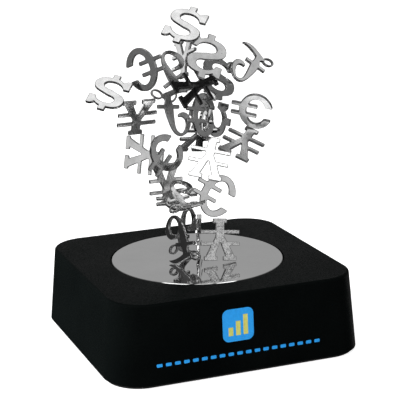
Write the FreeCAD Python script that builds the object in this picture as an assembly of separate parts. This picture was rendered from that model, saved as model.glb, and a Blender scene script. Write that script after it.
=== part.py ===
"""Desk sculpture: steel currency symbols held by a magnet in a black block.

Millimetres, +Z up. The origin is the centre of the underside.
"""
import FreeCAD, Part
import math
import os

# Block
FOOT_X = 82.8               # block width at the foot
FOOT_Y = 78.9               # block depth at the foot
TOP_X = 78.8                # block width at the top rim
TOP_Y = 75.6                # block depth at the top rim
TOP_Z = 25.4                # top of the block and of the disc
CORNER_R = 11.5             # upright corner radius
RIM_R = 0.8                 # rounding of the top rim
PAD_T = 1.0                 # foam pad under the block
PAD_INSET = 1.2
WALL = 3.0
ROOF = 4.0                  # thickness of the block's top
CLEAR = 0.1                 # gap round pieces that are dropped in
SAME = 0.001                # heights this close are taken as equal

# Disc
DISC_R = 27.5
DISC_T = 1.1
DISC_CHAMFER = 0.15
DISC_GAP = 0.35             # dark ring round the disc
GLUE_T = 0.2
GLUE_MARGIN = 1.5           # the glue stops short of the edges

# Magnet under the roof
MAGNET_R = 30.0
MAGNET_HOLE_R = 12.0
MAGNET_T = 9.0
MAGNET_GLUE_T = 0.2
BACK_T = 2.0

# Cover and screws
COVER_T = 2.0
COVER_SIDE = 0.6            # gap between the cover's edge and the wall
COVER_LIFT = 0.4            # the cover sits this far above the pad
POST_R = 3.6
POST_IN = 8.0               # post centre inside the foot outline
PILOT_R = 1.0
SCREW_R = 0.95
HEAD_R = 1.7
HEAD_T = 1.0
SLOT_W = 0.6
SLOT_DEEP = 0.5
SCREW_LENGTH = 9.0

# Printed mark on the front face
INK_T = 0.06
BADGE_SIZE = 10.0
BADGE_R = 2.0
BADGE_X = -2.3
BADGE_Z = 15.6
BAR_W = 1.5                 # three bars of rising height on the badge
BAR_PITCH = 2.4
BAR_HEIGHTS = (2.6, 4.4, 6.2)
BAR_LOW = -3.2
DASHES = 19                 # evenly spaced dashes under the badge
DASH_LENGTH = 1.8
DASH_HEIGHT = 1.0
DASH_R = 0.3
DASH_PITCH = 2.84
RULE_X = -2.0
RULE_Z = 6.8

# Symbols
PLATE = 1.0                 # thickness of every steel symbol

EURO_C_X = 2.35             # centre of the C
EURO_OUTER = (5.5, 6.95)
EURO_INNER = (3.1, 4.9)
EURO_TIP_TOP = 2.1
EURO_TIP_LOW = -2.55
EURO_BAR_LEFT = -5.75
EURO_BAR_RIGHT = 2.7
EURO_BAR_T = 1.3
EURO_BAR_Y = (1.8, -1.9)

YEN_TOP = 6.75
YEN_LOW = -6.65
YEN_SERIF_OUT = 5.35
YEN_SERIF_IN = 0.95
YEN_SERIF_T = 1.45
YEN_ARM_IN = 1.85
YEN_ARM_OUT = 4.75
YEN_ARM_LOW = -1.0          # where the arms run into the stem
YEN_NOTCH_Y = 0.65
YEN_STEM = 1.4              # half the stem's width
YEN_FOOT = 2.3              # half the foot's width
YEN_BAR = 6.45              # half the bar's length
YEN_BAR_T = 1.2
YEN_BAR_Y = (1.37, -2.4)
EURO_EASE = 0.4             # rounding of the upright corners of the stamped outline
YEN_EASE = 0.25

POUND_BAR = (-4.6, 2.85)
POUND_BAR_Y = -1.8
POUND_BAR_T = 1.25
RING_CENTRE = (-4.45, -5.75)
RING_OUTER = (2.1, 1.5)
RING_INNER = (1.5, 0.9)
RING_TURN = 25

# Each symbol: node, kind, place of its origin, and its turns in degrees: spin in its own
# plane last in the list, then the lean from lying flat, then the direction it faces.
SYMBOLS = [
    ("yen_foot", "yen", (5.1, -7, 32.6), (-3, 73, 174)),
    ("yen_foot_edge", "yen", (0.7, 0.3, 32.5), (62, 89, -15)),
    ("pound_foot", "pound", (-6.7, -4.8, 33.8), (119, 102, -15)),
    ("pound_foot_back", "pound", (-3.5, 3.3, 33.7), (29, 81, -12)),
    ("euro_low_right", "euro", (3.5, -4.2, 47.5), (-8, 77, -33)),
    ("euro_low_flat", "euro", (-7.3, 0.4, 45.1), (-35, 14, 15)),
    ("pound_low_flat", "pound", (-7.1, -2.7, 47.2), (-19, 20, 27)),
    ("yen_low_left", "yen", (-7.6, 6.8, 48.8), (16, 82, -4)),
    ("yen_centre", "yen", (3.5, -2.8, 58.4), (-27, 67, 169)),
    ("yen_core", "yen", (4.2, 8.3, 63.2), (10, 125, 170)),
    ("euro_left", "euro", (-9.2, 5.2, 57.7), (15, 92, 48)),
    ("yen_left_side", "yen", (-12.4, 13.1, 57.8), (-43, 80, 87)),
    ("yen_right", "yen", (15.5, -1.7, 62.1), (-14, 36, 143)),
    ("yen_left", "yen", (-15.2, 11.4, 70.4), (0, 117, 1)),
    ("pound_left", "pound", (-5.7, 5.9, 72.2), (-177, 111, -174)),
    ("pound_core", "pound", (5.9, 3.4, 71.8), (48, 93, 161)),
    ("euro_core", "euro", (-0.1, -3.5, 72.6), (29, 81, -12)),
    ("dollar_core", "dollar", (9.8, 11.7, 68.2), (134, 91, 100)),
    ("euro_right", "euro", (18, -1, 72.2), (-38, 117, -12)),
    ("dollar_left", "dollar", (-23.9, 12.1, 78.9), (-25, 38, -19)),
    ("yen_upper_core", "yen", (-0.8, -3.8, 81.5), (-25, 46, 117)),
    ("pound_upper_left", "pound", (-2.4, 13.4, 82.7), (-16, 60, 35)),
    ("euro_upper_left", "euro", (-11.6, 10, 86.4), (129, 96, -22)),
    ("dollar_right", "dollar", (8.6, 0.9, 83.1), (18, 70, -17)),
    ("yen_under_top", "yen", (3.1, 16.6, 87.3), (-80, 73, 22)),
    ("dollar_upper", "dollar", (3, -2.9, 90.5), (-180, 115, 25)),
    ("pound_upper_right", "pound", (20.7, 3.2, 84.8), (15, 58, 135)),
    ("dollar_top", "dollar", (-1.7, 2.5, 99.8), (-27, 42, -20)),
]


def vec(x, y, z=0):
    return FreeCAD.Vector(x, y, z)


def polygon(points):
    corners = [vec(x, y) for x, y in points]
    return Part.Face(Part.makePolygon(corners + corners[:1]))


def box_strip(x0, x1, y, thick):
    low, high = y - thick / 2, y + thick / 2
    return polygon([(x0, low), (x1, low), (x1, high), (x0, high)])


def ellipse_face(centre, radii, turn=0.0):
    middle = vec(*centre)
    long_r, short_r = max(radii), min(radii)
    if radii[1] > radii[0]:
        turn = turn + 90.0
    edge = Part.Ellipse(middle, long_r, short_r).toShape()
    edge.rotate(middle, vec(0, 0, 1), turn)
    return Part.Face(Part.Wire(edge))


def outline(*runs):
    """Closed face: a run of two points is a straight edge, a longer run is a smooth curve."""
    edges = []
    for run in runs:
        points = [vec(x, y) for x, y in run]
        if len(points) == 2:
            edges.append(Part.makeLine(points[0], points[1]))
        else:
            curve = Part.BSplineCurve()
            curve.interpolate(points)
            edges.append(curve.toShape())
    return Part.Face(Part.Wire(edges))


def raised(face):
    plate = face.extrude(vec(0, 0, PLATE))
    plate.translate(vec(0, 0, -PLATE / 2))
    return plate


def plate_of(faces):
    """One flat plate from overlapping outlines, equal about its middle plane."""
    plates = [raised(face) for face in faces]
    if len(plates) == 1:
        return plates[0]
    return plates[0].fuse(plates[1:]).removeSplitter()


def eased(plate, radius):
    """Round the plate's upright corners, as tumbling leaves them."""
    corners = []
    for edge in plate.Edges:
        low, high = edge.Vertexes[0].Point, edge.Vertexes[-1].Point
        if abs(low.x - high.x) < SAME and abs(low.y - high.y) < SAME and len(edge.Vertexes) == 2:
            corners.append(edge)
    return plate.makeFillet(radius, corners)


def euro():
    centre = (EURO_C_X, 0)
    ring = ellipse_face(centre, EURO_OUTER).cut(ellipse_face(centre, EURO_INNER))
    reach = 2 * EURO_OUTER[0]
    height = EURO_TIP_TOP - EURO_TIP_LOW
    mouth = box_strip(EURO_C_X, EURO_C_X + reach, EURO_TIP_LOW + height / 2, height)
    bars = [box_strip(EURO_BAR_LEFT, EURO_BAR_RIGHT, y, EURO_BAR_T) for y in EURO_BAR_Y]
    return eased(plate_of([ring.cut(mouth)] + bars), EURO_EASE)


def yen_arm_edge(y):
    """Outer edge of the right arm at height y."""
    serif_low = YEN_TOP - YEN_SERIF_T
    return YEN_STEM + (YEN_ARM_OUT - YEN_STEM) * (y - YEN_ARM_LOW) / (serif_low - YEN_ARM_LOW)


def yen():
    serif_low = YEN_TOP - YEN_SERIF_T
    foot_top = YEN_LOW + YEN_SERIF_T
    upper, lower = YEN_BAR_Y
    half = YEN_BAR_T / 2
    right = [
        (YEN_ARM_IN, serif_low), (YEN_SERIF_IN, serif_low), (YEN_SERIF_IN, YEN_TOP),
        (YEN_SERIF_OUT, YEN_TOP), (YEN_SERIF_OUT, serif_low), (YEN_ARM_OUT, serif_low),
        (yen_arm_edge(upper + half), upper + half), (YEN_BAR, upper + half),
        (YEN_BAR, upper - half), (yen_arm_edge(upper - half), upper - half),
        (YEN_STEM, YEN_ARM_LOW), (YEN_STEM, lower + half), (YEN_BAR, lower + half),
        (YEN_BAR, lower - half), (YEN_STEM, lower - half),
        (YEN_STEM, foot_top), (YEN_FOOT, foot_top), (YEN_FOOT, YEN_LOW),
    ]
    left = [(-x, y) for x, y in reversed(right)]
    return eased(plate_of([polygon([(0, YEN_NOTCH_Y)] + right + left)]), YEN_EASE)


def dollar_half(sign):
    """Half of the S from its left bowl over the top to the lower right; the rest is its half turn."""
    runs = [
        [(-5.2, 0.9), (-5.95, 2.6), (-5.2, 4.6), (-3.6, 5.55), (-1.25, 5.9)],
        [(-1.25, 5.9), (-1.25, 7.4)],
        [(-1.25, 7.4), (1.15, 7.4)],
        [(1.15, 7.4), (1.15, 5.8)],
        [(1.15, 5.8), (2.2, 5.45), (3.1, 4.9)],
        [(3.1, 4.9), (4.0, 5.65), (5.75, 5.75)],
        [(5.75, 5.75), (5.8, 2.2)],
        [(5.8, 2.2), (3.75, 2.1)],
        [(3.75, 2.1), (2.8, 3.4), (1.2, 4.2), (-0.5, 4.35), (-2.0, 3.95), (-2.75, 2.95),
         (-2.2, 1.9), (-0.25, 1.25), (2.1, 0.5), (3.8, -0.1), (5.2, -0.9)],
    ]
    return [[(sign * x, sign * y) for x, y in run] for run in runs]


def dollar():
    return plate_of([outline(*(dollar_half(1) + dollar_half(-1)))])


def pound():
    stem = outline(
        [(-1.3, -4.6), (-2.1, -2.6), (-2.05, -0.7), (-1.55, 1.5), (-0.85, 3.6), (0.2, 5.9),
         (1.3, 7.15), (2.7, 7.6), (4.3, 7.1), (5.55, 5.7), (6.3, 3.9), (6.3, 2.2), (5.7, 0.8),
         (4.5, 0.0), (3.2, 0.05), (2.2, 0.75)],
        [(2.2, 0.75), (2.3, 1.6)],
        [(2.3, 1.6), (3.3, 1.45), (4.3, 1.95), (4.75, 3.0), (4.6, 4.6), (4.0, 5.9), (3.0, 6.65),
         (2.1, 6.3), (1.4, 5.4), (1.0, 3.5), (0.85, 0.8), (0.75, -1.7), (0.2, -3.6), (-1.3, -4.6)],
    )
    sweep = outline(
        [(-3.0, -5.0), (-2.3, -4.4), (-1.3, -4.35), (0.7, -5.25), (2.3, -5.95), (3.8, -6.35), (6.2, -6.45)],
        [(6.2, -6.45), (4.5, -7.5), (2.5, -7.65), (0.8, -7.25), (-1.1, -6.5), (-2.4, -5.9), (-3.0, -5.0)],
    )
    knee = outline(
        [(-2.7, -5.1), (-1.9, -3.9), (-1.95, -2.0)],
        [(-1.95, -2.0), (0.6, -2.6)],
        [(0.6, -2.6), (0.2, -4.0), (0.3, -5.4)],
        [(0.3, -5.4), (-2.7, -5.1)],
    )
    ring = ellipse_face(RING_CENTRE, RING_OUTER, RING_TURN)
    ring = ring.cut(ellipse_face(RING_CENTRE, RING_INNER, RING_TURN))
    bar = box_strip(POUND_BAR[0], POUND_BAR[1], POUND_BAR_Y, POUND_BAR_T)
    return plate_of([stem, sweep, knee, ring, bar])


def placed(shape, place, turns):
    face, lean, spin = turns
    rotation = FreeCAD.Rotation(vec(0, 0, 1), face)
    rotation = rotation.multiply(FreeCAD.Rotation(vec(1, 0, 0), lean))
    rotation = rotation.multiply(FreeCAD.Rotation(vec(0, 0, 1), spin))
    shape.Placement = FreeCAD.Placement(vec(*place), rotation).multiply(shape.Placement)
    return shape


def rounded_wire(width, depth, radius, z):
    x, y = width / 2, depth / 2
    near = radius * (1 - math.sqrt(0.5))
    edges = []
    corners = [(1, 1), (-1, 1), (-1, -1), (1, -1)]
    for index, (sx, sy) in enumerate(corners):
        along_y = vec(sx * x, sy * (y - radius), z)
        along_x = vec(sx * (x - radius), sy * y, z)
        middle = vec(sx * (x - near), sy * (y - near), z)
        start, end = (along_y, along_x) if sx == sy else (along_x, along_y)
        edges.append(Part.Arc(start, middle, end).toShape())
        nx, ny = corners[(index + 1) % len(corners)]
        following = vec(nx * (x - radius), ny * y, z) if sx == sy else vec(nx * x, ny * (y - radius), z)
        edges.append(Part.makeLine(end, following))
    return Part.Wire(edges)


def block_size(z):
    """Width and depth of the tapered block at height z."""
    part = z / TOP_Z
    return FOOT_X + (TOP_X - FOOT_X) * part, FOOT_Y + (TOP_Y - FOOT_Y) * part


def tapered(z0, z1, inset):
    wires = []
    for z in (z0, z1):
        width, depth = block_size(z)
        wires.append(rounded_wire(width - 2 * inset, depth - 2 * inset, CORNER_R - inset, z))
    return Part.makeLoft(wires, True, True)


def sheet(width, depth, radius, z, thick):
    return Part.Face(rounded_wire(width, depth, radius, z)).extrude(vec(0, 0, thick))


def post_places():
    x, y = FOOT_X / 2 - POST_IN, FOOT_Y / 2 - POST_IN
    return [(sx * x, sy * y) for sx in (-1, 1) for sy in (-1, 1)]


DISC_Z = TOP_Z - DISC_T
COVER_Z = PAD_T + COVER_LIFT
COVER_TOP = COVER_Z + COVER_T
ROOF_Z = TOP_Z - ROOF
POST_Z = COVER_TOP + CLEAR
MAGNET_Z = ROOF_Z - MAGNET_GLUE_T - MAGNET_T
BACK_Z = MAGNET_Z - BACK_T


def base_shell():
    body = tapered(PAD_T, TOP_Z, 0)
    rim = [edge for edge in body.Edges if edge.BoundBox.ZMin > TOP_Z - SAME]
    body = body.makeFillet(RIM_R, rim)
    body = body.cut(tapered(PAD_T, ROOF_Z, WALL))
    recess = Part.makeCylinder(DISC_R + DISC_GAP, DISC_T + GLUE_T, vec(0, 0, DISC_Z - GLUE_T))
    body = body.cut(recess)
    for x, y in post_places():
        post = Part.makeCylinder(POST_R, ROOF_Z - POST_Z, vec(x, y, POST_Z))
        body = body.fuse(post)
    for x, y in post_places():
        body = body.cut(Part.makeCylinder(PILOT_R, SCREW_LENGTH, vec(x, y, POST_Z)))
    return body.removeSplitter()


def mirror_disc():
    disc = Part.makeCylinder(DISC_R, DISC_T, vec(0, 0, DISC_Z))
    rim = [edge for edge in disc.Edges if edge.BoundBox.ZMin > TOP_Z - SAME]
    return disc.makeChamfer(DISC_CHAMFER, rim)


def disc_adhesive():
    return Part.makeCylinder(DISC_R - GLUE_MARGIN, GLUE_T, vec(0, 0, DISC_Z - GLUE_T))


def annulus(outer, inner, height, z):
    ring = Part.makeCylinder(outer, height, vec(0, 0, z))
    return ring.cut(Part.makeCylinder(inner, height, vec(0, 0, z)))


def magnet_adhesive():
    outer = MAGNET_R - GLUE_MARGIN
    inner = MAGNET_HOLE_R + GLUE_MARGIN
    return annulus(outer, inner, MAGNET_GLUE_T, MAGNET_Z + MAGNET_T)


def ring_magnet():
    return annulus(MAGNET_R, MAGNET_HOLE_R, MAGNET_T, MAGNET_Z)


def back_plate():
    return Part.makeCylinder(MAGNET_R, BACK_T, vec(0, 0, BACK_Z))


def bottom_cover():
    width, depth = block_size(COVER_Z)
    inset = WALL + COVER_SIDE
    cover = sheet(width - 2 * inset, depth - 2 * inset, CORNER_R - inset, COVER_Z, COVER_T)
    for x, y in post_places():
        cover = cover.cut(Part.makeCylinder(SCREW_R + CLEAR, COVER_T, vec(x, y, COVER_Z)))
        cover = cover.cut(Part.makeCylinder(HEAD_R + CLEAR, HEAD_T, vec(x, y, COVER_Z)))
    return cover


def cover_screws():
    screws = []
    for x, y in post_places():
        head = Part.makeCylinder(HEAD_R, HEAD_T - CLEAR, vec(x, y, COVER_Z))
        shank = Part.makeCylinder(SCREW_R, SCREW_LENGTH, vec(x, y, COVER_Z))
        slot = Part.makeBox(2 * HEAD_R, SLOT_W, SLOT_DEEP, vec(x - HEAD_R, y - SLOT_W / 2, COVER_Z))
        screws.append(head.fuse(shank).cut(slot))
    return Part.makeCompound(screws)


def foot_pad():
    width, depth = FOOT_X - 2 * PAD_INSET, FOOT_Y - 2 * PAD_INSET
    return sheet(width, depth, CORNER_R - PAD_INSET, 0, PAD_T)


def on_front(shape, x, z):
    """Stand a flat shape, drawn about the origin, against the sloping front face."""
    lean = math.degrees(math.atan2((FOOT_Y - TOP_Y) / 2, TOP_Z))
    stand = FreeCAD.Rotation(vec(1, 0, 0), 90 - lean)
    front = FreeCAD.Placement(vec(x, -block_size(z)[1] / 2, z), stand)
    shape.Placement = front.multiply(shape.Placement)
    return shape


def badge_bars():
    first = -BAR_PITCH * (len(BAR_HEIGHTS) - 1) / 2
    bars = []
    for index, height in enumerate(BAR_HEIGHTS):
        x = first + index * BAR_PITCH - BAR_W / 2
        bars.append(Part.makeBox(BAR_W, height, INK_T, vec(x, BAR_LOW, 0)))
    return bars


def print_badge():
    badge = sheet(BADGE_SIZE, BADGE_SIZE, BADGE_R, 0, INK_T)
    return on_front(badge.cut(Part.makeCompound(badge_bars())), BADGE_X, BADGE_Z)


def print_bars():
    return on_front(Part.makeCompound(badge_bars()), BADGE_X, BADGE_Z)


def print_dashes():
    first = -DASH_PITCH * (DASHES - 1) / 2
    dashes = []
    for index in range(DASHES):
        dash = sheet(DASH_LENGTH, DASH_HEIGHT, DASH_R, 0, INK_T)
        dash.translate(vec(first + index * DASH_PITCH, 0, 0))
        dashes.append(dash)
    return on_front(Part.makeCompound(dashes), RULE_X, RULE_Z)


BASE = [base_shell, mirror_disc, disc_adhesive, magnet_adhesive, ring_magnet, back_plate, bottom_cover,
        cover_screws, foot_pad, print_badge, print_bars, print_dashes]
KINDS = {"euro": euro, "yen": yen, "dollar": dollar, "pound": pound}


def main():
    os.makedirs("parts", exist_ok=True)
    for make in BASE:
        make().exportStep("parts/" + make.__name__ + ".step")
    for node, kind, place, turns in SYMBOLS:
        placed(KINDS[kind](), place, turns).exportStep("parts/" + node + ".step")


main()
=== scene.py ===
"""Looks for the desk sculpture: steel currency symbols held by a magnet in a black block.

Metres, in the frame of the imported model. Every CAD node keeps its own mesh and gets a node
material, and the symbols also get rounded edges from modifiers. A world of soft studio cards,
a plain floor, three lights and a camera follow.
"""
import math

import bpy
from mathutils import Matrix, Vector

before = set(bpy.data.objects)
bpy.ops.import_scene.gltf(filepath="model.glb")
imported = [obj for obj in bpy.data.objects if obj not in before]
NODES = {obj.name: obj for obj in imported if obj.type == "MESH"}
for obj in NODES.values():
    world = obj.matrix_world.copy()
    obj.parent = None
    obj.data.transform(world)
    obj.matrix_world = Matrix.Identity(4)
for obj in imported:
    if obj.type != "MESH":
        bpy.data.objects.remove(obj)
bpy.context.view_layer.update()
MM = 0.001

# Camera: azimuth 0 looks along +Y. Azimuth and elevation are in degrees, the roll in radians,
# the lens and sensor in millimetres.
CAM_AZIMUTH = -21.48
CAM_ELEVATION = 14.87
CAM_DISTANCE = 0.4285
CAM_ROLL = 0.016
CAM_TARGET = (-0.00017, -0.00369, 0.04532)
CAM_LENS = 122.33
CAM_SENSOR = 36.0
CAM_NEAR = 0.01
CAM_FAR = 20.0

# Floor
FLOOR_SIZE = 6.0
FLOOR_ALBEDO = 0.72
FLOOR_LIFT = 0.8            # extra white that only the camera sees; mirrors see past the floor

# Studio, as the steel and the lighting see it: a dim room with a grey wall behind and cards round
# the object. The camera itself sees plain white. A card is its compass bearing from +Y towards +X,
# its height above the horizon, its half-width in degrees and its brightness. Later cards lie over
# earlier ones.
SKY = 0.09
UNDER = 0.03                # what shines up from below the horizon in reflections
HORIZON = (-0.12, 0.04)     # sines of the heights between which UNDER gives way to SKY
CARDS = [
    (21, 13, 20, 0.36), (-60, 84, 9, 1.05), (-139, 72, 9, 0.0), (78, 78, 8, 0.22),
    (60, 46, 7, 1.4), (78, 18, 6, 1.2), (-175, 70, 7, 0.9), (-95, 32, 6, 1.1),
    (-41, 9, 7, 0.85), (-147, 33, 9, 2.2), (-145, 10, 11, 2.2), (-171, 50, 9, 0.36),
    (153, 39, 7, 0.66), (150, 25, 6, 0.32), (173, 11, 9, 0.64), (161, 17, 6, 1.0),
    (129, 1, 9, 1.1), (130, -18, 8, 0.3), (113, 38, 9, 0.55), (119, 20, 7, 0.15),
    (102, 2, 5, 0.2), (-114, 6, 8, 0.7), (-98, 0, 6, 0.16), (-81, 2, 8, 0.04),
    (-110, -10, 7, 0.2), (-111, 62, 12, 2.2), (141, 60, 9, 2.0), (16, 42, 7, 0.6),
    (22, 56, 7, 0.8), (61, -14, 7, 0.9), (35, -16, 8, 0.6), (-60, -30, 8, 0.5),
    (180, -40, 9, 0.5), (90, -55, 9, 0.5),
]
CARD_EDGE = 5.0             # soft edge of a card, degrees

# Soft lights: name, bearing, height above the horizon, distance, diameter and power
LIGHTS = [
    ("top_soft", -150, 62, 0.9, 0.6, 3.0),
    ("side_soft", -62, 6, 0.9, 0.4, 22.0),
    ("front_soft", 178, 22, 0.9, 0.5, 0.9),
]

# Symbols: tone (painted light and shade: a whole piece made lighter or darker than plain steel, standing
# in for what it reflects), grain, polish and frost, where a piece differs from the plain steel
SYMBOL_KINDS = ("dollar_", "euro_", "yen_", "pound_")
PLAIN = (1.0, 0.2, 0.12, 0.0)
FINISHES_AND_PAINTED_LIGHT = {
    "yen_upper_core": (0.2, 0.1, 0.1, 0.0),
    "yen_centre": (1.08, 0.3, 0.2, 0.35),
    "yen_foot": (0.95, 0.5, 0.2, 0.6),
    "yen_foot_edge": (1.08, 0.1, 0.1, 0.15),
    "yen_low_left": (1.0, 0.2, 0.26, 0.0),
    "yen_right": (1.0, 0.2, 0.3, 0.0),
    "euro_low_flat": (1.05, 0.1, 0.08, 0.0),
    "euro_right": (1.08, 0.2, 0.3, 0.0),
    "pound_foot": (0.8, 0.1, 0.08, 0.0),
    "pound_foot_back": (0.65, 0.1, 0.08, 0.0),
    "pound_low_flat": (1.05, 0.1, 0.08, 0.0),
    "pound_left": (1.0, 0.2, 0.3, 0.0),
}
# Painted shade on a symbol's rounded edges: how dark they are painted against its faces, where that
# isn't the common value
PAINTED_EDGE_SHADE = 0.75
PAINTED_EDGE_SHADES = {
    "dollar_top": 0.22, "dollar_left": 0.22, "euro_right": 0.22, "pound_upper_right": 0.3,
    "yen_right": 0.4, "yen_left": 0.45, "euro_low_right": 0.5, "dollar_upper": 0.6,
}

# Rounded edges of the symbols
EDGE_WIDTH = 0.22 * MM
EDGE_SEGMENTS = 3
EDGE_MIN_TURN = 40.0        # degrees between two faces, above which their edge is rounded
WELD_REACH = 0.002 * MM
FLAT_TURN = 0.3             # degrees between two faces, below which they become one


# ---------------------------------------------------------------- node helpers

MIX_FACTOR, MIX_A, MIX_B = 0, 6, 7      # input sockets of a colour Mix node
MIX_RESULT = 2                          # its output socket


class Graph:
    """Short names for building a node tree."""

    def __init__(self, tree):
        self.tree = tree
        tree.nodes.clear()

    def add(self, kind, inputs=None, **settings):
        node = self.tree.nodes.new("ShaderNode" + kind)
        for name, value in settings.items():
            setattr(node, name, value)
        for name, value in (inputs or {}).items():
            self.set(node, name, value)
        return node

    def set(self, node, name, value):
        socket = node.inputs[name]
        if isinstance(value, bpy.types.NodeSocket):
            self.tree.links.new(value, socket)
        else:
            socket.default_value = value

    def math(self, operation, a, b):
        return self.add("Math", {0: a, 1: b}, operation=operation).outputs[0]

    def between(self, value, low, high, to_low=0.0, to_high=1.0, smooth=False):
        """Map low..high to to_low..to_high, held at both ends."""
        kind = "SMOOTHSTEP" if smooth else "LINEAR"
        node = self.add("MapRange", {"Value": value, "From Min": low, "From Max": high,
                                     "To Min": to_low, "To Max": to_high},
                        interpolation_type=kind, clamp=True)
        return node.outputs["Result"]

    def blend(self, factor, a, b):
        node = self.add("Mix", data_type="RGBA")
        self.set(node, MIX_FACTOR, factor)
        self.set(node, MIX_A, a)
        self.set(node, MIX_B, b)
        return node.outputs[MIX_RESULT]

    def noise(self, coords, scale, detail, rough=0.55):
        node = self.add("TexNoise", {"Vector": coords, "Scale": scale,
                                     "Detail": detail, "Roughness": rough})
        return node.outputs["Fac"]

    def stretched(self, coords, scale, turn=(0.0, 0.0, 0.0), shift=(0.0, 0.0, 0.0)):
        node = self.add("Mapping", {"Vector": coords, "Scale": scale,
                                    "Rotation": turn, "Location": shift})
        return node.outputs["Vector"]


def grey(value):
    return (value, value, value, 1.0)


def start_material(name):
    material = bpy.data.materials.new(name)
    material.use_nodes = True
    graph = Graph(material.node_tree)
    out = graph.add("OutputMaterial")
    coords = graph.add("TexCoord").outputs["Object"]
    return material, graph, out, coords


def finish_material(graph, out, inputs, bump):
    """A Principled surface; bump is a list of (height, strength, distance)."""
    surface = graph.add("BsdfPrincipled", inputs)
    normal = None
    for height, strength, distance in bump:
        node = graph.add("Bump", {"Height": height, "Strength": strength, "Distance": distance})
        if normal is not None:
            graph.set(node, "Normal", normal)
        normal = node.outputs["Normal"]
    graph.set(surface, "Normal", normal)
    graph.set(out, "Surface", surface.outputs["BSDF"])


# ---------------------------------------------------------------- materials

def steel(name, painted_brightness, grain, polish, seed, frost=0.0):
    """Stamped and tumbled steel: faint mottling, fine scratches and a pebbly skin."""
    material, g, out, coords = start_material(name)
    coords = g.stretched(coords, (1, 1, 1), shift=(seed * 0.013, seed * 0.007, seed * 0.011))
    mottle = g.noise(coords, 320.0, 4.0)
    pebble = g.noise(coords, 2600.0, 2.0, 0.6)
    scratch = g.noise(g.stretched(coords, (6000, 260, 900), (0.4, 0.9, 0.3 + seed)), 1.0, 2.0)
    # The tone scales every colour of the piece: painted light and shade for the whole symbol
    light = grey(min(0.92, 0.86 * painted_brightness))
    dark = grey(0.70 * painted_brightness)
    colour = g.blend(g.between(mottle, 0.35, 0.65), dark, light)
    specks = g.between(pebble, 0.62, 0.72, 0.0, min(1.0, 0.25 + grain))
    colour = g.blend(specks, colour, grey(0.45 * painted_brightness))
    crystal = g.noise(coords, 1500.0, 3.0, 0.75)
    colour = g.blend(g.between(crystal, 0.46, 0.6, 0.0, frost), colour, grey(0.16 * painted_brightness))
    rough = g.between(scratch, 0.3, 0.7, polish * 0.8, polish * 1.35)
    finish_material(g, out, {"Base Color": colour, "Metallic": 1.0, "Roughness": rough},
                    [(mottle, 0.05, 0.3 * MM), (crystal, 0.5 * frost, 0.06 * MM),
                     (pebble, grain, 0.05 * MM), (scratch, 0.06, 0.02 * MM)])
    return material


def mirror_steel():
    """Polished disc: clear reflection, a faint cloudiness and hairline scratches."""
    material, g, out, coords = start_material("disc_polished")
    cloud = g.noise(coords, 60.0, 4.0)
    fine = g.noise(coords, 1500.0, 2.0)
    hair_a = g.noise(g.stretched(coords, (2500, 40, 40), (0, 0, 0.5)), 1.0, 2.0)
    hair_b = g.noise(g.stretched(coords, (40, 2500, 40), (0, 0, 0.2)), 1.0, 2.0)
    hair = g.math("MAXIMUM", hair_a, hair_b)
    colour = g.blend(g.between(cloud, 0.3, 0.7), grey(0.80), grey(0.87))
    colour = g.blend(g.between(fine, 0.6, 0.75, 0.0, 0.25), colour, grey(0.6))
    rough = g.between(hair, 0.62, 0.8, 0.025, 0.12)
    finish_material(g, out, {"Base Color": colour, "Metallic": 1.0, "Roughness": rough},
                    [(cloud, 0.02, 0.1 * MM), (hair, 0.03, 0.005 * MM)])
    return material


def moulded_plastic(name, low, high, specular, pitch, relief, rough):
    """Black moulded plastic with a fine spark-eroded skin and a slightly uneven sheen."""
    material, g, out, coords = start_material(name)
    skin = g.noise(coords, pitch, 3.0, 0.65)
    cell = g.add("TexVoronoi", {"Vector": coords, "Scale": pitch * 0.55, "Randomness": 1.0},
                 feature="SMOOTH_F1")
    haze = g.noise(coords, 45.0, 5.0, 0.6)
    colour = g.blend(g.between(haze, 0.3, 0.7), low, high)
    roughness = g.between(haze, 0.3, 0.7, rough[0], rough[1])
    gleam = g.between(skin, 0.38, 0.62, specular * 0.1, specular * 2.0)
    finish_material(g, out, {"Base Color": colour, "Roughness": roughness,
                             "Specular IOR Level": gleam},
                    [(cell.outputs["Distance"], relief * 0.5, 0.06 * MM), (skin, relief, 0.05 * MM)])
    return material


def printed_ink(name, dark, light):
    """Screen-printed ink: even colour, slightly uneven film."""
    material, g, out, coords = start_material(name)
    film = g.noise(coords, 1400.0, 3.0)
    pin = g.noise(coords, 5200.0, 2.0)
    colour = g.blend(g.between(film, 0.3, 0.7), dark, light)
    finish_material(g, out, {"Base Color": colour, "Roughness": g.between(film, 0.3, 0.7, 0.42, 0.6),
                             "Specular IOR Level": 0.25},
                    [(pin, 0.25, 0.02 * MM)])
    return material


def grained(name, dark, light, scale, relief, metallic=0.0, rough=(0.5, 0.8)):
    """A matt body with visible grain: foam, ferrite, glue or plated steel."""
    material, g, out, coords = start_material(name)
    broad = g.noise(coords, scale * 0.15, 4.0)
    grain = g.noise(coords, scale, 4.0, 0.7)
    mix = g.math("ADD", g.math("MULTIPLY", broad, 0.5), g.math("MULTIPLY", grain, 0.5))
    colour = g.blend(g.between(mix, 0.35, 0.65), dark, light)
    finish_material(g, out, {"Base Color": colour, "Metallic": metallic,
                             "Roughness": g.between(grain, 0.3, 0.7, rough[0], rough[1])},
                    [(grain, relief, 0.08 * MM)])
    return material


# ---------------------------------------------------------------- dressing the nodes

def dress(node, material):
    mesh = NODES[node].data
    mesh.materials.clear()
    mesh.materials.append(material)


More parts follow.
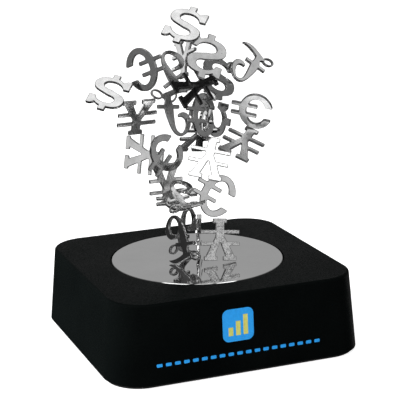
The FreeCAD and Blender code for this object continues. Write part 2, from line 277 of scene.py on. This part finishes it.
def soften(node, painted_shade_material):
    """Round a node's crisp edges without touching its own mesh; the rounding may look different."""
    piece = NODES[node]
    piece.data.materials.append(painted_shade_material)
    weld = piece.modifiers.new("weld", "WELD")
    weld.merge_threshold = WELD_REACH
    flat = piece.modifiers.new("flat", "DECIMATE")
    flat.decimate_type = "DISSOLVE"
    flat.angle_limit = math.radians(FLAT_TURN)
    bevel = piece.modifiers.new("bevel", "BEVEL")
    bevel.width = EDGE_WIDTH
    bevel.segments = EDGE_SEGMENTS
    bevel.limit_method = "ANGLE"
    bevel.angle_limit = math.radians(EDGE_MIN_TURN)
    bevel.use_clamp_overlap = False
    # The rounded faces take the second material, a darker copy of the steel: painted shade along the
    # edges
    bevel.material = 1
    normals = piece.modifiers.new("normals", "WEIGHTED_NORMAL")
    normals.weight = 100
    for face in piece.data.polygons:
        face.use_smooth = True


def dress_symbols():
    symbols = sorted(name for name in NODES if name.startswith(SYMBOL_KINDS))
    for seed, name in enumerate(symbols):
        # Each piece's tone is painted light and shade; its grain, polish and frost are its own finish
        painted_brightness, grain, polish, frost = FINISHES_AND_PAINTED_LIGHT.get(name, PLAIN)
        # A darker copy of the piece's steel for its rounded edges: painted shade
        shade_on_edges = painted_brightness * PAINTED_EDGE_SHADES.get(name, PAINTED_EDGE_SHADE)
        dress(name, steel("steel_" + name, painted_brightness, grain, polish, seed, frost))
        soften(name, steel("edge_" + name, shade_on_edges, grain, polish, seed))


def dress_block():
    """The moulded shell and cover, and what is bonded and screwed inside them."""
    dress("base_shell", moulded_plastic("shell_plastic", (0.0016, 0.0022, 0.0022, 1),
                                        (0.0026, 0.0035, 0.0034, 1), 0.012, 3200.0, 1.0, (0.3, 0.42)))
    dress("bottom_cover", moulded_plastic("cover_plastic", grey(0.012), grey(0.02),
                                          0.3, 2200.0, 0.3, (0.38, 0.55)))
    dress("mirror_disc", mirror_steel())
    dress("disc_adhesive", grained("glue_disc", grey(0.05), grey(0.08), 900.0, 0.2))
    dress("magnet_adhesive", grained("glue_magnet", grey(0.25), grey(0.35), 900.0, 0.2))
    dress("ring_magnet", grained("ferrite", grey(0.03), grey(0.06), 1800.0, 0.5, rough=(0.6, 0.85)))
    dress("back_plate", grained("zinc_plate", grey(0.45), grey(0.62), 700.0, 0.15, 1.0, (0.3, 0.45)))
    dress("cover_screws", grained("zinc_screw", grey(0.5), grey(0.68), 1500.0, 0.15, 1.0, (0.25, 0.4)))
    dress("foot_pad", grained("foam", grey(0.012), grey(0.03), 2400.0, 0.8, rough=(0.8, 0.95)))


def dress_print():
    """The badge and dashes in blue ink, and the bars on the badge in pale ink."""
    blue = printed_ink("ink_blue", (0.018, 0.33, 0.86, 1), (0.026, 0.39, 0.96, 1))
    dress("print_badge", blue)
    dress("print_dashes", blue)
    dress("print_bars", printed_ink("ink_pale", (0.62, 0.60, 0.12, 1), (0.74, 0.72, 0.2, 1)))


# ---------------------------------------------------------------- stage

def bearing(azimuth, elevation):
    """Unit vector at a compass bearing from +Y towards +X and a height above the horizon."""
    a, e = math.radians(azimuth), math.radians(elevation)
    return Vector((math.sin(a) * math.cos(e), math.cos(a) * math.cos(e), math.sin(e)))


def build_world():
    """The dim room and its cards for every ray but the camera's own, which sees white."""
    world = bpy.data.worlds.new("studio")
    bpy.context.scene.world = world
    world.use_nodes = True
    g = Graph(world.node_tree)
    out = g.add("OutputWorld")
    way = g.add("TexCoord").outputs["Generated"]
    height = g.add("SeparateXYZ", {0: way}).outputs["Z"]
    level = g.between(height, HORIZON[0], HORIZON[1], UNDER, SKY, smooth=True)
    for azimuth, elevation, half, bright in CARDS:
        dot = g.add("VectorMath", {0: way, 1: bearing(azimuth, elevation)}, operation="DOT_PRODUCT")
        inner = math.cos(math.radians(half - CARD_EDGE / 2))
        outer = math.cos(math.radians(half + CARD_EDGE / 2))
        mask = g.between(dot.outputs["Value"], outer, inner, smooth=True)
        step = g.math("MULTIPLY", mask, g.math("SUBTRACT", bright, level))
        level = g.math("ADD", level, step)
    seen = g.add("LightPath").outputs["Is Camera Ray"]
    back = g.add("Background", {"Color": g.blend(seen, level, grey(1.0)), "Strength": 1.0})
    g.set(out, "Surface", back.outputs[0])


def build_floor():
    """A matt white floor, brightened for the camera and clear to reflections."""
    mesh = bpy.data.meshes.new("floor")
    half = FLOOR_SIZE / 2
    corners = [(-half, -half, 0), (half, -half, 0), (half, half, 0), (-half, half, 0)]
    mesh.from_pydata(corners, [], [(0, 1, 2, 3)])
    floor = bpy.data.objects.new("floor", mesh)
    bpy.context.scene.collection.objects.link(floor)
    material = bpy.data.materials.new("floor_white")
    material.use_nodes = True
    g = Graph(material.node_tree)
    out = g.add("OutputMaterial")
    matt = g.add("BsdfDiffuse", {"Color": grey(FLOOR_ALBEDO)})
    lift = g.add("Emission", {"Color": grey(1.0)})
    ray = g.add("LightPath")
    g.set(lift, "Strength", g.math("MULTIPLY", ray.outputs["Is Camera Ray"], FLOOR_LIFT))
    both = g.add("AddShader", {0: matt.outputs[0], 1: lift.outputs[0]})
    clear = g.add("BsdfTransparent")
    pick = g.add("MixShader", {0: ray.outputs["Is Glossy Ray"], 1: both.outputs[0], 2: clear.outputs[0]})
    g.set(out, "Surface", pick.outputs[0])
    mesh.materials.append(material)


def area_light(name, azimuth, elevation, distance, size, power):
    light = bpy.data.lights.new(name, "AREA")
    light.shape = "DISK"
    light.size = size
    light.energy = power
    lamp = bpy.data.objects.new(name, light)
    bpy.context.scene.collection.objects.link(lamp)
    away = bearing(azimuth, elevation)
    lamp.location = Vector(CAM_TARGET) + away * distance
    lamp.rotation_mode = "QUATERNION"
    lamp.rotation_quaternion = away.to_track_quat("Z", "Y")
    lamp.visible_glossy = False
    lamp.visible_camera = False


def build_camera():
    data = bpy.data.cameras.new("camera")
    data.sensor_width = CAM_SENSOR
    data.lens = CAM_LENS
    data.clip_start = CAM_NEAR
    data.clip_end = CAM_FAR
    camera = bpy.data.objects.new("camera", data)
    bpy.context.scene.collection.objects.link(camera)
    back = bearing(180 - CAM_AZIMUTH, CAM_ELEVATION)
    turn = (-back).to_track_quat("-Z", "Y").to_matrix().to_4x4()
    roll = Matrix.Rotation(-CAM_ROLL, 4, "Z")
    camera.matrix_world = Matrix.Translation(Vector(CAM_TARGET) + back * CAM_DISTANCE) @ turn @ roll
    bpy.context.scene.camera = camera


dress_symbols()
dress_block()
dress_print()
build_world()
build_floor()
for light in LIGHTS:
    area_light(*light)
build_camera()
bpy.context.scene.view_settings.view_transform = "Standard"
bpy.context.scene.view_settings.look = "None"
